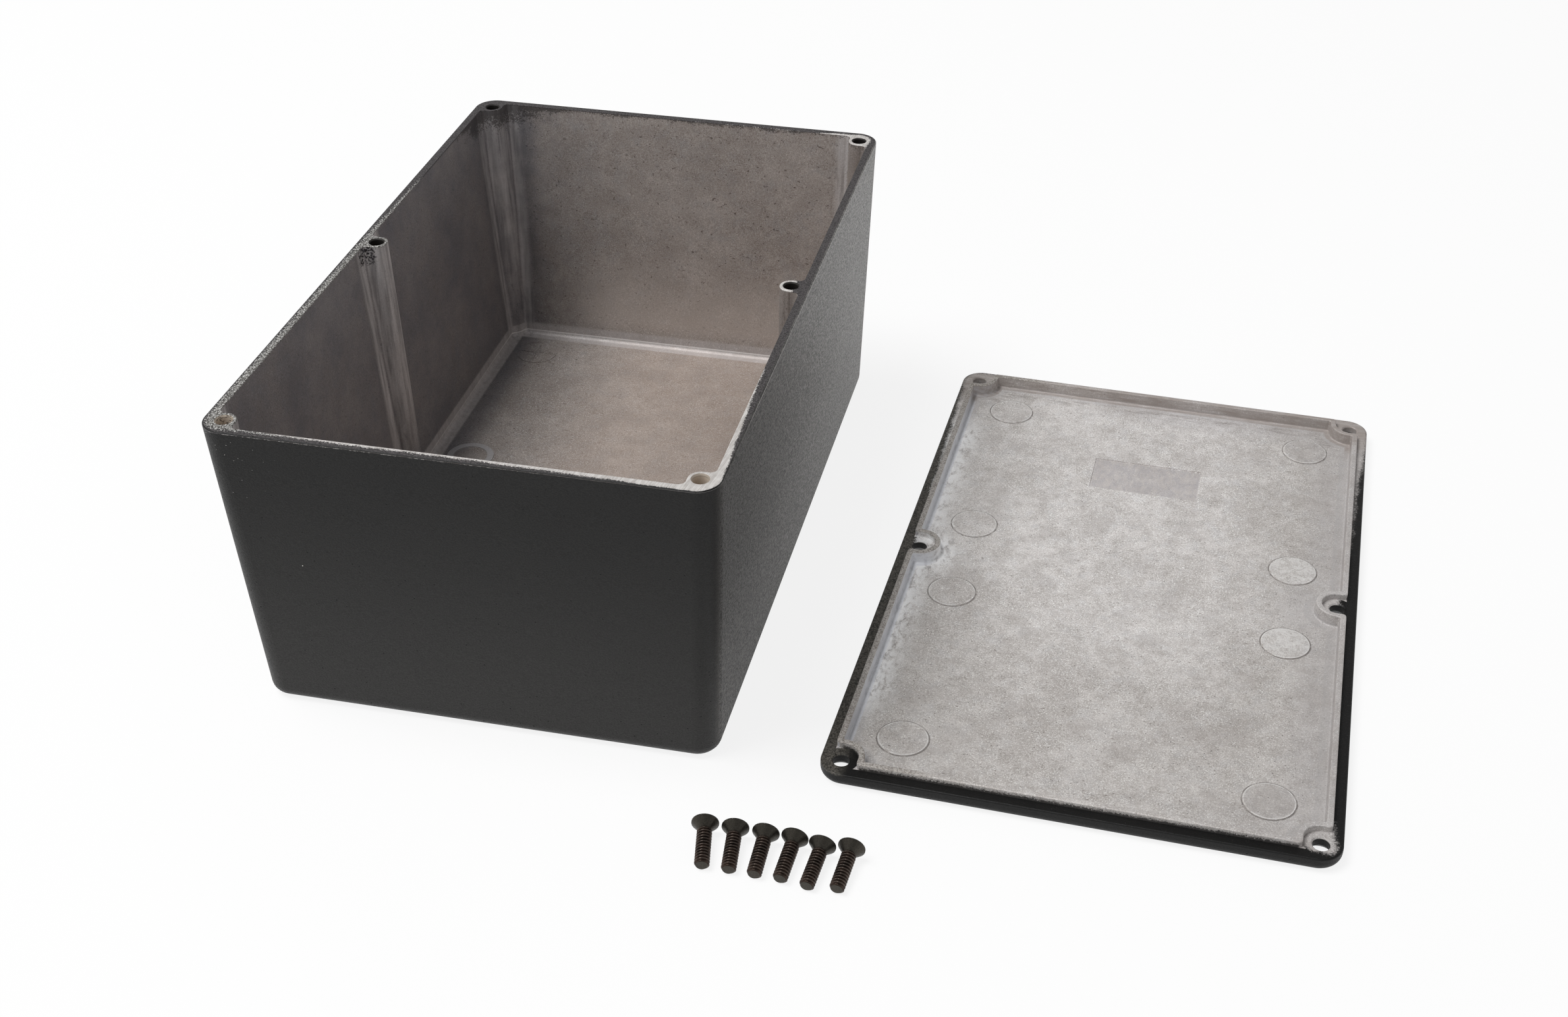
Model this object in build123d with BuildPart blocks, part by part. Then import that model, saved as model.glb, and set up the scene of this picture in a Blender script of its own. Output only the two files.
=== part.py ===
from build123d import *
import os
from math import atan, cos, radians, sin, tan

# A die cast aluminium box: the open case stands on its floor, and its lid lies inside up beside it.
# The six countersunk lid screws lie in a row in front. Millimetres, +Z up.
# The origin is the centre of the case's bottom face, and the case's length runs along Y.

# Case, outside
case_width = 119.5
case_length = 187.5
case_height = 78.6
corner_radius = 5.8
side_draft = 2.2
bottom_edge_radius = 3.5
rim_edge_radius = 0.4

# Case, inside
rim_wall = 2.3
cavity_draft = 2.9
floor_thickness = 4.2
column_foot_radius = 1.6
floor_edge_share = 0.875
rim_inner_radius = 0.2

# Screw holes, and the columns in the case that carry them
hole_inset_x = 4.95
hole_inset_y = 5.25
column_radius = 2.9
column_draft = 1.15
thread_diameter = 3.5
thread_clearance = 0.05
tapped_depth = 18.0
hole_mouth_chamfer = 0.35
mouth_angle = 90.0

# Round marks that the ejector pins left on the case's floor and in the lid
pin_mark_inset_x = 16.95
pin_mark_inset_y = 17.95
inner_pin_spacing = 31.8
pin_mark_radius = 6.1
pin_mark_height = 0.2
pin_mark_edge_radius = 0.1
ring_mark_radius = 6.7
ring_mark_width = 1.8
scribed_line_width = 0.4
scribed_line_depth = 0.12

# Lid
flange_thickness = 4.0
lid_edge_radius = 2.5
flange_top_radius = 0.4
lip_height = 1.7
lip_width = 1.45
lip_clearance = 0.45
lip_corner_radius = 1.0
lip_top_radius = 0.3
pocket_radius = 4.1
tray_floor_thickness = 2.4
tray_draft = 3.0
tray_corner_share = 0.93
tray_edge_share = 0.85
lid_hole_diameter = 4.0
lid_hole_mouth_chamfer = 0.3
head_seat_clearance = 0.4
pad_width = 30.0
pad_length = 15.0
pad_inset = 36.4
pad_depth = 0.25

# Lid screws
screw_length = 12.2
head_diameter = 6.3
head_land = 0.25
head_angle = 82.0
screw_tip_chamfer = 0.4
recess_span = 3.6
recess_width = 1.0
recess_depth = 1.6
recess_draft = 14.0

# How the loose pieces lie: the lid to the right of the case, the screws in front of its corner
lid_gap = 25.0
lid_shift = -1.5
lid_turn = -2.3
screw_row_gap = 20.2
screw_row_side = 0.6

# Each screw's head along the row and towards the back, as shares of the head's diameter,
# and how far its tip is turned to the right, in degrees
head_place_shares = [(0, 0), (1.11, 0.01), (2.23, -0.01), (3.29, -0.03), (4.32, -0.18), (5.35, -0.09)]
tip_turns = [10.6, 6.2, 0.2, -3.8, -5.4, -4.9]

# What follows from the sizes above
overrun = 20.0
down = (0, 0, -1)
cavity_depth = case_height - floor_thickness
floor_edge_radius = floor_edge_share * column_foot_radius
hole_x = case_width / 2 - hole_inset_x
hole_y = case_length / 2 - hole_inset_y
pin_x = case_width / 2 - pin_mark_inset_x
pin_y = case_length / 2 - pin_mark_inset_y
tapped_radius = thread_diameter / 2 + thread_clearance
tapped_mouth_radius = tapped_radius + hole_mouth_chamfer
lip_outer_width = case_width - 2 * (rim_wall + lip_clearance)
lip_outer_length = case_length - 2 * (rim_wall + lip_clearance)
tray_width = lip_outer_width - 2 * lip_width
tray_length = lip_outer_length - 2 * lip_width
tray_depth = flange_thickness + lip_height - tray_floor_thickness
tray_corner_radius = tray_corner_share * (tray_width / 2 - hole_x)
tray_edge_radius = tray_edge_share * (tray_corner_radius - tray_depth * tan(radians(tray_draft)))
lid_hole_radius = lid_hole_diameter / 2
lid_mouth_radius = lid_hole_radius + lid_hole_mouth_chamfer
head_radius = head_diameter / 2
head_seat_radius = head_radius + head_seat_clearance
thread_radius = thread_diameter / 2
cone_height = (head_radius - thread_radius) / tan(radians(head_angle / 2))

rim_plane = Plane.XY.offset(case_height)
cavity_floor = Plane.XY.offset(floor_thickness)
lid_plane = Plane(
    origin=(case_width + lid_gap, lid_shift, 0),
    x_dir=(cos(radians(lid_turn)), sin(radians(lid_turn)), 0),
    z_dir=(0, 0, 1),
)
lid_underside = Plane(origin=lid_plane.origin, x_dir=lid_plane.x_dir, z_dir=-lid_plane.z_dir)
lip_top = lid_plane.offset(flange_thickness + lip_height)


def corners(x, y):
    """The four places at x and y from the middle."""
    return [(a, b) for a in (-x, x) for b in (-y, y)]


screw_places = corners(hole_x, hole_y) + [(-hole_x, 0), (hole_x, 0)]
outer_pin_places = corners(pin_x, pin_y)
inner_pin_places = corners(pin_x, inner_pin_spacing / 2)


def sides(part):
    """The faces round a part, without its flat top and bottom."""
    return part.faces().filter_by(Axis.Z, reverse=True)


def hole_block_grid(radius, count_y):
    """The middles of blocks whose innermost round, of this radius, lies about a screw hole."""
    spacing_x = 2 * (hole_x - radius + overrun)
    spacing_y = 2 * (hole_y - radius + overrun)
    return GridLocations(spacing_x, spacing_y, 2, count_y)


def cut_hole_blocks(radius):
    """Take a round-nosed bite round each screw hole out of the sketch in work."""
    with hole_block_grid(radius, 2):
        RectangleRounded(2 * overrun, 2 * overrun, radius, mode=Mode.SUBTRACT)
    with hole_block_grid(radius, 1):
        SlotOverall(2 * overrun, 2 * radius, mode=Mode.SUBTRACT)


def sharp_corners(sketch):
    """The corners between two straight runs of a sketch's outline."""
    return sketch.vertices() - sketch.edges().filter_by(GeomType.CIRCLE).vertices()


# What fills each corner of the cavity, and the middle of its long sides: a block that widens
# downwards, and whose innermost round is the screw column
with BuildPart() as corner_block:
    with BuildSketch(rim_plane):
        RectangleRounded(2 * overrun, 2 * overrun, column_radius)
    extrude(amount=cavity_depth, dir=down)
    draft(sides(corner_block), rim_plane, column_draft)

with BuildPart() as middle_block:
    with BuildSketch(rim_plane):
        SlotOverall(2 * overrun, 2 * column_radius)
    extrude(amount=cavity_depth, dir=down)
    draft(sides(middle_block), rim_plane, column_draft)

# The space inside the case
with BuildPart() as cavity:
    with BuildSketch(rim_plane):
        Rectangle(case_width - 2 * rim_wall, case_length - 2 * rim_wall)
    extrude(amount=cavity_depth, dir=down)
    draft(sides(cavity), rim_plane, -cavity_draft)
    with hole_block_grid(column_radius, 2):
        add(corner_block.part, mode=Mode.SUBTRACT)
    with hole_block_grid(column_radius, 1):
        add(middle_block.part, mode=Mode.SUBTRACT)
    flat_ends = cavity.faces().filter_by(Axis.Z)
    column_width_area = 2 * column_radius * cavity_depth
    walls = sides(cavity).filter_by(GeomType.PLANE).filter_by(lambda face: face.area > column_width_area)
    fillet(walls.edges() - flat_ends.edges(), column_foot_radius)
    fillet(cavity.faces().sort_by(Axis.Z)[0].edges(), floor_edge_radius)

# The case: a drafted shell with round corners, six screw columns and a tapped blind hole in each
with BuildPart() as case_body:
    with BuildSketch(rim_plane):
        Rectangle(case_width, case_length)
    extrude(amount=case_height, dir=down)
    draft(sides(case_body), rim_plane, -side_draft)
    fillet(case_body.edges().group_by(Axis.Z)[1], corner_radius)
    fillet(case_body.faces().sort_by(Axis.Z)[0].edges(), bottom_edge_radius)
    add(cavity.part, mode=Mode.SUBTRACT)
    fillet(case_body.faces().sort_by(Axis.Z)[-1].outer_wire().edges(), rim_edge_radius)
    fillet(case_body.faces().sort_by(Axis.Z)[-1].inner_wires()[0].edges(), rim_inner_radius)
    with Locations(rim_plane):
        with Locations(*screw_places):
            CounterSinkHole(tapped_radius, tapped_mouth_radius, tapped_depth, mouth_angle)
    with BuildSketch(cavity_floor):
        with Locations(*outer_pin_places):
            Circle(pin_mark_radius)
        with Locations(*inner_pin_places):
            Circle(ring_mark_radius)
            Circle(ring_mark_radius - ring_mark_width, mode=Mode.SUBTRACT)
    extrude(amount=pin_mark_height)
    with BuildSketch(cavity_floor.offset(pin_mark_height)):
        with Locations((-pin_x, pin_y)):
            Rectangle(2 * pin_mark_radius, scribed_line_width)
            Rectangle(scribed_line_width, 2 * pin_mark_radius)
    extrude(amount=-scribed_line_depth, mode=Mode.SUBTRACT)

# The hollow of the lid: a shallow tray that passes round the screw holes
with BuildPart() as tray:
    with BuildSketch(lip_top) as tray_outline:
        Rectangle(tray_width, tray_length)
        cut_hole_blocks(pocket_radius + lip_width)
        fillet(sharp_corners(tray_outline), tray_corner_radius)
    extrude(amount=tray_depth, dir=down)
    draft(sides(tray), lip_top, -tray_draft)
    fillet(tray.faces().sort_by(Axis.Z)[0].edges(), tray_edge_radius)

# A low round pad with a soft edge, as an ejector pin leaves it
with BuildPart() as pin_mark:
    Cylinder(pin_mark_radius, pin_mark_height, align=(Align.CENTER, Align.CENTER, Align.MIN))
    fillet(pin_mark.faces().sort_by(Axis.Z)[-1].edges(), pin_mark_edge_radius)

# The lid: a flange as wide as the case, a lip that drops into the case's rim, and the tray inside it
with BuildPart() as lid:
    with BuildSketch(lid_plane):
        RectangleRounded(case_width, case_length, corner_radius)
    extrude(amount=flange_thickness)
    fillet(lid.faces().sort_by(Axis.Z)[0].edges(), lid_edge_radius)
    fillet(lid.faces().sort_by(Axis.Z)[-1].edges(), flange_top_radius)
    with BuildSketch(lid_plane.offset(flange_thickness)) as lip_outline:
        Rectangle(lip_outer_width, lip_outer_length)
        cut_hole_blocks(pocket_radius)
        fillet(sharp_corners(lip_outline), lip_corner_radius)
    extrude(amount=lip_height)
    add(tray.part, mode=Mode.SUBTRACT)
    fillet(lid.faces().sort_by(Axis.Z)[-1].edges(), lip_top_radius)
    with Locations(lid_plane.offset(tray_floor_thickness)):
        with Locations(*outer_pin_places, *inner_pin_places):
            add(pin_mark.part)
    with Locations(lid_plane.offset(flange_thickness)):
        with Locations(*screw_places):
            CounterSinkHole(lid_hole_radius, lid_mouth_radius, flange_thickness, mouth_angle)
    with Locations(lid_underside):
        with Locations(*screw_places):
            CounterSinkHole(lid_hole_radius, head_seat_radius, flange_thickness, head_angle)
    with BuildSketch(lid_plane.offset(tray_floor_thickness)):
        with Locations((0, (case_length - pad_length) / 2 - pad_inset)):
            Rectangle(pad_width, pad_length)
    extrude(amount=-pad_depth, mode=Mode.SUBTRACT)

# A lid screw, upright, with its head's top face at the origin
with BuildPart() as upright_screw:
    with BuildSketch(Plane.XZ):
        with BuildLine():
            Polyline(
                (0, 0),
                (head_radius, 0),
                (head_radius, -head_land),
                (thread_radius, -head_land - cone_height),
                (thread_radius, -screw_length + screw_tip_chamfer),
                (thread_radius - screw_tip_chamfer, -screw_length),
                (0, -screw_length),
                close=True,
            )
        make_face()
    revolve(axis=Axis.Z)
    with BuildSketch():
        Rectangle(recess_span, recess_width)
        Rectangle(recess_width, recess_span)
    extrude(amount=-recess_depth, taper=recess_draft, mode=Mode.SUBTRACT)

os.makedirs("parts", exist_ok=True)
case_body.part.label = "case_body"
export_step(case_body.part, "parts/case_body.step")
lid.part.label = "lid"
export_step(lid.part, "parts/lid.step")

# The screws lie on the head's rim and the thread's end, so the axis falls towards the tip
lying_length = screw_length - screw_tip_chamfer - head_land
lying_tilt = atan((head_radius - thread_radius) / lying_length)
head_centre_height = head_land * sin(lying_tilt) + head_radius * cos(lying_tilt)
row_x = case_width / 2 + screw_row_side
row_y = -case_length / 2 - screw_row_gap

for number, ((along_share, back_share), turn) in enumerate(zip(head_place_shares, tip_turns), start=1):
    head_centre = (
        row_x + along_share * head_diameter,
        row_y + back_share * head_diameter,
        head_centre_height,
    )
    away_x = -sin(radians(turn))
    away_y = cos(radians(turn))
    lying = Plane(
        origin=head_centre,
        x_dir=(away_y, -away_x, 0),
        z_dir=(away_x * cos(lying_tilt), away_y * cos(lying_tilt), sin(lying_tilt)),
    )
    with BuildPart() as lid_screw:
        with Locations(lying):
            add(upright_screw.part)
    lid_screw.part.label = f"lid_screw_{number}"
    export_step(lid_screw.part, f"parts/lid_screw_{number}.step")
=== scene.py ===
from math import cos, pi, radians, sin, tan

import bpy
import numpy as np
from mathutils import Matrix, Vector


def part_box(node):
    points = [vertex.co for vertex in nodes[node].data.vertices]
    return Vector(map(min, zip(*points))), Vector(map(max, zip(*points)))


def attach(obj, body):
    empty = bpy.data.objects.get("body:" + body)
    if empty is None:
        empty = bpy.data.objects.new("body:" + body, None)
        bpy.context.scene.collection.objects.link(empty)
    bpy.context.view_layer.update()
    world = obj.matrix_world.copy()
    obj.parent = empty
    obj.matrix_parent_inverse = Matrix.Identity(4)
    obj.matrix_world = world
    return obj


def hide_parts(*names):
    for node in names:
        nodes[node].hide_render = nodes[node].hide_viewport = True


# A die cast aluminium box with its lid off: paint outside, bare casting inside, black screws.
# Blender's units are metres. The patterns are drawn in millimetres.
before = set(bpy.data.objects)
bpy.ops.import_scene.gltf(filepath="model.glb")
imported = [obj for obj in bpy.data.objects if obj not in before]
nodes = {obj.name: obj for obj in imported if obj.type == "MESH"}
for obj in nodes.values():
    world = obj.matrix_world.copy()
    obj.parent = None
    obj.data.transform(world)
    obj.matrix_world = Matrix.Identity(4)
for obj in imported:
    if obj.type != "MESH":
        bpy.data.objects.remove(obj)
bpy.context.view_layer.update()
mm = 0.001
per_mm = 1 / mm

# Sizes of the castings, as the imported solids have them, in millimetres
rim_wall = 2.3
corner_radius = 5.8
outer_draft = tan(radians(2.2))
inner_draft = tan(radians(2.9))
floor_thickness = 4.2
floor_corner_radius = 1.6
hole_inset_x = 4.95
hole_inset_y = 5.25
hole_radius = 1.8
pin_mark_inset_x = 16.95
pin_mark_inset_y = 17.95
inner_pin_spacing = 31.8
pin_mark_radius = 6.1
ring_mark_radius = 6.7
ring_mark_width = 1.8
flange_thickness = 4.0
lip_height = 1.7
lip_clearance = 0.45
lip_corner_radius = 1.0
pocket_radius = 4.1
tray_floor_thickness = 2.4
pad_length = 30.0
pad_width = 15.0
pad_y = 49.85
lid_turn = radians(-2.3)

# Sizes of the screws, in millimetres
screw_length = 12.2
head_diameter = 6.3
head_land = 0.25
head_angle = radians(82)
neck_diameter = 2.9
thread_diameter = 3.5
thread_pitch = 0.794
thread_depth = 0.46
screw_tip_chamfer = 0.4
recess_span = 3.6
recess_width = 1.0
recess_depth = 1.6
recess_end_taper = 1.2
recess_side_taper = 0.5
thread_run_in = 0.7
head_to_thread_slope = 0.7

# Sizes of the threaded sleeves in the case's holes, in millimetres
tapped_start = 2.8
tapped_depth_shown = 5.0
tapped_ridge = 0.38
tapped_run_in = 0.8
sleeve_sunk = 0.03
sleeve_proud = 0.01

# How the round bodies are meshed. The welds close gaps of so many millimetres: at a seam, and after a cut.
rows_per_turn = 12.0
places_round = 48
seam_weld = 0.001
sliver_weld = 0.004
sharp_angle = radians(38)

# The finishes: how high the bumps stand, in millimetres, the grain of plain paint and of paint with a
# painted sheen in dots, the angle of the cutting lines on the rim, and how much all surfaces mirror
paint_bump = 0.16
casting_bump = 0.05
paint_grain = 0.5
sheen_grain = 0.8
cut_angle = 0.16
specular_level = 0.3

case_low, case_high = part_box("case_body")
case_height = (case_high.z - case_low.z) * per_mm
half_width = (case_high.x - case_low.x) / 2 * per_mm
half_length = (case_high.y - case_low.y) / 2 * per_mm
lid_low, lid_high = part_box("lid")
lid_centre = (lid_low + lid_high) / 2 * per_mm
lip_top_height = flange_thickness + lip_height
hole_x = half_width - hole_inset_x
hole_y = half_length - hole_inset_y
pin_x = half_width - pin_mark_inset_x
pin_y = half_length - pin_mark_inset_y


class Signal:
    """What a node puts out. Signals add and multiply, so a pattern reads as a sum."""

    def __init__(self, sheet, socket):
        self.sheet = sheet
        self.socket = socket

    def __add__(self, other):
        return self.sheet.math("ADD", self, other)

    def __sub__(self, other):
        return self.sheet.math("SUBTRACT", self, other)

    def __rsub__(self, other):
        return self.sheet.math("SUBTRACT", other, self)

    def __mul__(self, other):
        return self.sheet.math("MULTIPLY", self, other)

    def __truediv__(self, other):
        return self.sheet.math("DIVIDE", self, other)

    __radd__ = __add__
    __rmul__ = __mul__


class Sheet:
    """A node tree in the making. Each method adds a node and gives back what it puts out."""

    def __init__(self, tree):
        self.tree = tree

    def fill(self, socket, source):
        """Fill a socket with a signal or a plain value."""
        if isinstance(source, Signal):
            self.tree.links.new(source.socket, socket)
        else:
            socket.default_value = source

    def add(self, kind, inputs=(), **settings):
        """Add a node with its settings, and fill its inputs."""
        node = self.tree.nodes.new(kind)
        for name, setting in settings.items():
            setattr(node, name, setting)
        for key, source in dict(inputs).items():
            self.fill(node.inputs[key], source)
        return node

    def out(self, node, key=0):
        return Signal(self, node.outputs[key])

    def result(self, kind, inputs=(), key=0, **settings):
        """Add a node and give back one of its outputs, the first unless a key names another."""
        return self.out(self.add(kind, inputs, **settings), key)

    def math(self, operation, *values):
        return self.result("ShaderNodeMath", enumerate(values), operation=operation)

    def vector(self, operation, *values):
        key = "Value" if operation == "LENGTH" else "Vector"
        return self.result("ShaderNodeVectorMath", enumerate(values), key, operation=operation)

    def smallest(self, a, b):
        return self.math("MINIMUM", a, b)

    def largest(self, a, b):
        return self.math("MAXIMUM", a, b)

    def invert(self, a):
        return self.math("SUBTRACT", 1.0, a)

    def rise(self, value, low, high):
        """A mask that rises softly from 0 at low to 1 at high."""
        return self.spread(value, low, high, 0.0, 1.0, "SMOOTHSTEP")

    def fall(self, value, low, high):
        """A mask that falls softly from 1 at low to 0 at high."""
        return self.spread(value, low, high, 1.0, 0.0, "SMOOTHSTEP")

    def between(self, value, start, full, end, gone):
        """A mask that rises softly from start to full, and falls softly from end to gone."""
        return self.rise(value, start, full) * self.fall(value, end, gone)

    def spread(self, value, low, high, to_low, to_high, curve="LINEAR"):
        """The value's range from low to high, drawn out to another range."""
        node = self.add("ShaderNodeMapRange", enumerate((value, low, high, to_low, to_high)))
        node.interpolation_type = curve
        return self.out(node)

    def over(self, value, middle):
        """1 where the value is over the middle one, and 0 elsewhere."""
        return self.math("GREATER_THAN", value, middle)

    def length(self, x, y):
        """The length of a way across, from its parts along X and Y."""
        return self.vector("LENGTH", self.join(x, y, 0.0))

    def split(self, vector):
        node = self.add("ShaderNodeSeparateXYZ", {"Vector": vector})
        return [self.out(node, axis) for axis in "XYZ"]

    def join(self, x, y, z):
        return self.result("ShaderNodeCombineXYZ", {"X": x, "Y": y, "Z": z})

    def noise(self, point, size, detail=3.0, roughness=0.55, distortion=0.0):
        """Cloudy noise whose patches are about this many millimetres wide."""
        sources = {
            "Vector": point,
            "Scale": 1 / size,
            "Detail": detail,
            "Roughness": roughness,
            "Distortion": distortion,
        }
        return self.result("ShaderNodeTexNoise", sources, "Fac")

    def cells(self, point, size):
        """How far the nearest of many points scattered at this spacing is, and a shade for each."""
        node = self.add("ShaderNodeTexVoronoi", {"Vector": point, "Scale": 1 / size})
        shade = self.result("ShaderNodeSeparateColor", {"Color": self.out(node, "Color")}, "Red")
        return self.out(node, "Distance"), shade

    def mix(self, factor, a, b, blend="MIX"):
        """Colour a, and colour b where the factor is 1."""
        node = self.add("ShaderNodeMix", data_type="RGBA", blend_type=blend)
        sources = {"Factor_Float": factor, "A_Color": a, "B_Color": b}
        for socket in node.inputs:
            if socket.identifier in sources:
                self.fill(socket, sources[socket.identifier])
        return Signal(self, next(s for s in node.outputs if s.identifier == "Result_Color"))

    def ramp(self, factor, stops):
        """A value that runs through given stops, each a place from 0 to 1 and a level."""
        node = self.add("ShaderNodeValToRGB", {"Fac": factor})
        elements = node.color_ramp.elements
        while len(elements) < len(stops):
            elements.new(0.5)
        for element, (place, level) in zip(elements, stops):
            element.position = place
            element.color = (level, level, level, 1)
        return self.out(node, "Color")

    def scaled(self, point, x, y, z):
        return self.vector("MULTIPLY", point, (x, y, z))

    def group(self, tree, **inputs):
        """Place a node group. Underscores in the keys stand for spaces in its inputs' names."""
        in_shader = self.tree.bl_idname == "ShaderNodeTree"
        node = self.tree.nodes.new("ShaderNodeGroup" if in_shader else "GeometryNodeGroup")
        node.node_tree = tree
        for key, source in inputs.items():
            self.fill(node.inputs[key.replace("_", " ")], source)
        return [Signal(self, output) for output in node.outputs]


def colour(red, green, blue):
    """A colour written as 0 to 255 on screen, turned to the linear light that a node takes."""
    linear = []
    for channel in (red, green, blue):
        share = channel / 255
        linear.append(share / 12.92 if share <= 0.04045 else ((share + 0.055) / 1.055) ** 2.4)
    return (*linear, 1.0)


# The kinds of a node group's inputs and outputs
number_socket = "NodeSocketFloat"
vector_socket = "NodeSocketVector"
colour_socket = "NodeSocketColor"
geometry_socket = "NodeSocketGeometry"
material_socket = "NodeSocketMaterial"


def new_group(name, inputs, outputs, kind="ShaderNodeTree"):
    """A node group with named inputs and outputs: its sheet, what it is given, and its way out."""
    tree = bpy.data.node_groups.new(name, kind)
    for socket_name, socket_kind, value in inputs:
        socket = tree.interface.new_socket(socket_name, in_out="INPUT", socket_type=socket_kind)
        if value is not None:
            socket.default_value = value
    for socket_name, socket_kind in outputs:
        tree.interface.new_socket(socket_name, in_out="OUTPUT", socket_type=socket_kind)
    sheet = Sheet(tree)
    entry = tree.nodes.new("NodeGroupInput")
    given = {socket.name: Signal(sheet, socket) for socket in entry.outputs if socket.name}
    way_out = tree.nodes.new("NodeGroupOutput")
    return sheet, given, way_out


def close_group(sheet, way_out, **results):
    """Lead the results to the group's outputs."""
    for key, signal in results.items():
        sheet.tree.links.new(signal.socket, way_out.inputs[key.replace("_", " ")])
    return sheet.tree


def make_outline_distance():
    """How far a point lies outside a rectangle with round corners, seen from above."""
    sheet, given, way_out = new_group(
        "outline_distance",
        [
            ("Point", vector_socket, None),
            ("Half width", number_socket, 10.0),
            ("Half length", number_socket, 10.0),
            ("Corner radius", number_socket, 1.0),
        ],
        [("Distance", number_socket)],
    )
    x, y, _ = sheet.split(sheet.vector("ABSOLUTE", given["Point"]))
    past_x = x - (given["Half width"] - given["Corner radius"])
    past_y = y - (given["Half length"] - given["Corner radius"])
    corner = sheet.length(sheet.largest(past_x, 0.0), sheet.largest(past_y, 0.0))
    inner = sheet.smallest(sheet.largest(past_x, past_y), 0.0)
    return close_group(sheet, way_out, Distance=corner + inner - given["Corner radius"])


def make_hole_distance():
    """How far a point lies from the nearest of the six screw holes' axes, seen from above."""
    sheet, given, way_out = new_group(
        "hole_distance",
        [("Point", vector_socket, None)],
        [("Distance", number_socket)],
    )
    x, y, _ = sheet.split(sheet.vector("ABSOLUTE", given["Point"]))
    distance = sheet.smallest(sheet.length(x - hole_x, y - hole_y), sheet.length(x - hole_x, y))
    return close_group(sheet, way_out, Distance=distance)


def make_pin_mark_distance():
    """How far a point lies from the middle of the nearest ejector mark, seen from above."""
    sheet, given, way_out = new_group(
        "pin_mark_distance",
        [("Point", vector_socket, None)],
        [("Distance", number_socket), ("Outer mark", number_socket)],
    )
    x, y, _ = sheet.split(sheet.vector("ABSOLUTE", given["Point"]))
    to_outer = sheet.length(x - pin_x, y - pin_y)
    to_inner = sheet.length(x - pin_x, y - inner_pin_spacing / 2)
    nearest = sheet.smallest(to_outer, to_inner)
    outer_mark = sheet.math("LESS_THAN", to_outer, to_inner)
    return close_group(sheet, way_out, Distance=nearest, Outer_mark=outer_mark)


def make_perimeter():
    """A value that changes round the outline: each side brings its own, and corners blend them."""
    sheet, given, way_out = new_group(
        "perimeter",
        [
            ("Point", vector_socket, None),
            ("Front", number_socket, 0.0),
            ("Right", number_socket, 0.0),
            ("Back", number_socket, 0.0),
            ("Left", number_socket, 0.0),
        ],
        [("Value", number_socket)],
    )
    x, y, _ = sheet.split(given["Point"])
    past_side = sheet.math("ABSOLUTE", x) - half_width
    past_end = sheet.math("ABSOLUTE", y) - half_length
    on_side = sheet.rise(past_side - past_end, -2.0, 2.0)
    side = given["Left"] + sheet.over(x, 0.0) * (given["Right"] - given["Left"])
    end = given["Front"] + sheet.over(y, 0.0) * (given["Back"] - given["Front"])
    return close_group(sheet, way_out, Value=end + on_side * (side - end))


def make_bare_casting():
    """The mottled skin of bare cast aluminium, with fine grain, smudges, pits and clean sparks."""
    sheet, given, way_out = new_group(
        "bare_casting",
        [
            ("Point", vector_socket, None),
            ("Dark", colour_socket, colour(120, 112, 108)),
            ("Light", colour_socket, colour(176, 171, 168)),
            ("Cool", colour_socket, colour(150, 154, 158)),
            ("Pits", number_socket, 0.5),
            ("Sparks", number_socket, 0.85),
        ],
        [("Color", colour_socket), ("Roughness", number_socket), ("Height", number_socket)],
    )
    point = given["Point"]
    clouds = sheet.noise(point, 30.0, detail=4.0, roughness=0.6, distortion=0.5)
    patches = sheet.noise(point, 3.5, detail=4.0, roughness=0.7)
    grain = sheet.noise(point, 0.36, detail=1.0, roughness=0.8)
    mottle = sheet.rise(clouds * 0.45 + patches * 0.55, 0.36, 0.64)
    tone = mottle * 0.55 + sheet.rise(grain, 0.4, 0.6) * 0.45
    skin = sheet.mix(tone, given["Dark"], given["Light"])
    cool = sheet.rise(sheet.noise(point, 4.0, detail=4.0, roughness=0.7), 0.45, 0.7)
    skin = sheet.mix(cool * 0.3, skin, given["Cool"])
    smudges = sheet.noise(point, 1.1, detail=4.0, roughness=0.75, distortion=0.4)
    dashes = sheet.noise(sheet.scaled(point, 0.4, 1.0, 0.5), 0.45, detail=1.0, distortion=0.3)
    dashes = sheet.rise(dashes + patches * 0.15, 0.77, 0.8)
    stain = sheet.largest(sheet.rise(smudges, 0.6, 0.68) * 0.35, dashes)
    skin = sheet.mix(stain * 0.75, skin, given["Dark"], "MULTIPLY")
    sparks = sheet.noise(point, 0.3, detail=0.0, distortion=1.0)
    sparks = sheet.rise(sparks + sheet.noise(point, 8.0, detail=2.0) * 0.16, 0.72, 0.76)
    skin = sheet.mix(sparks * given["Sparks"], skin, colour(255, 254, 252))
    to_pit, pit_shade = sheet.cells(point, 1.2)
    pit_patches = sheet.noise(point, 12.0, detail=3.0)
    chance = pit_shade * 0.5 + pit_patches + given["Pits"] * 0.3
    pits = sheet.fall(to_pit, 0.08, 0.16) * sheet.over(chance, 0.98)
    skin = sheet.mix(pits * 0.7, skin, colour(66, 58, 54))
    roughness = sheet.spread(patches, 0.3, 0.7, 0.52, 0.66)
    height = grain * 0.7 + patches * 0.6 - pits
    return close_group(sheet, way_out, Color=skin, Roughness=roughness, Height=height)


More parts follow.
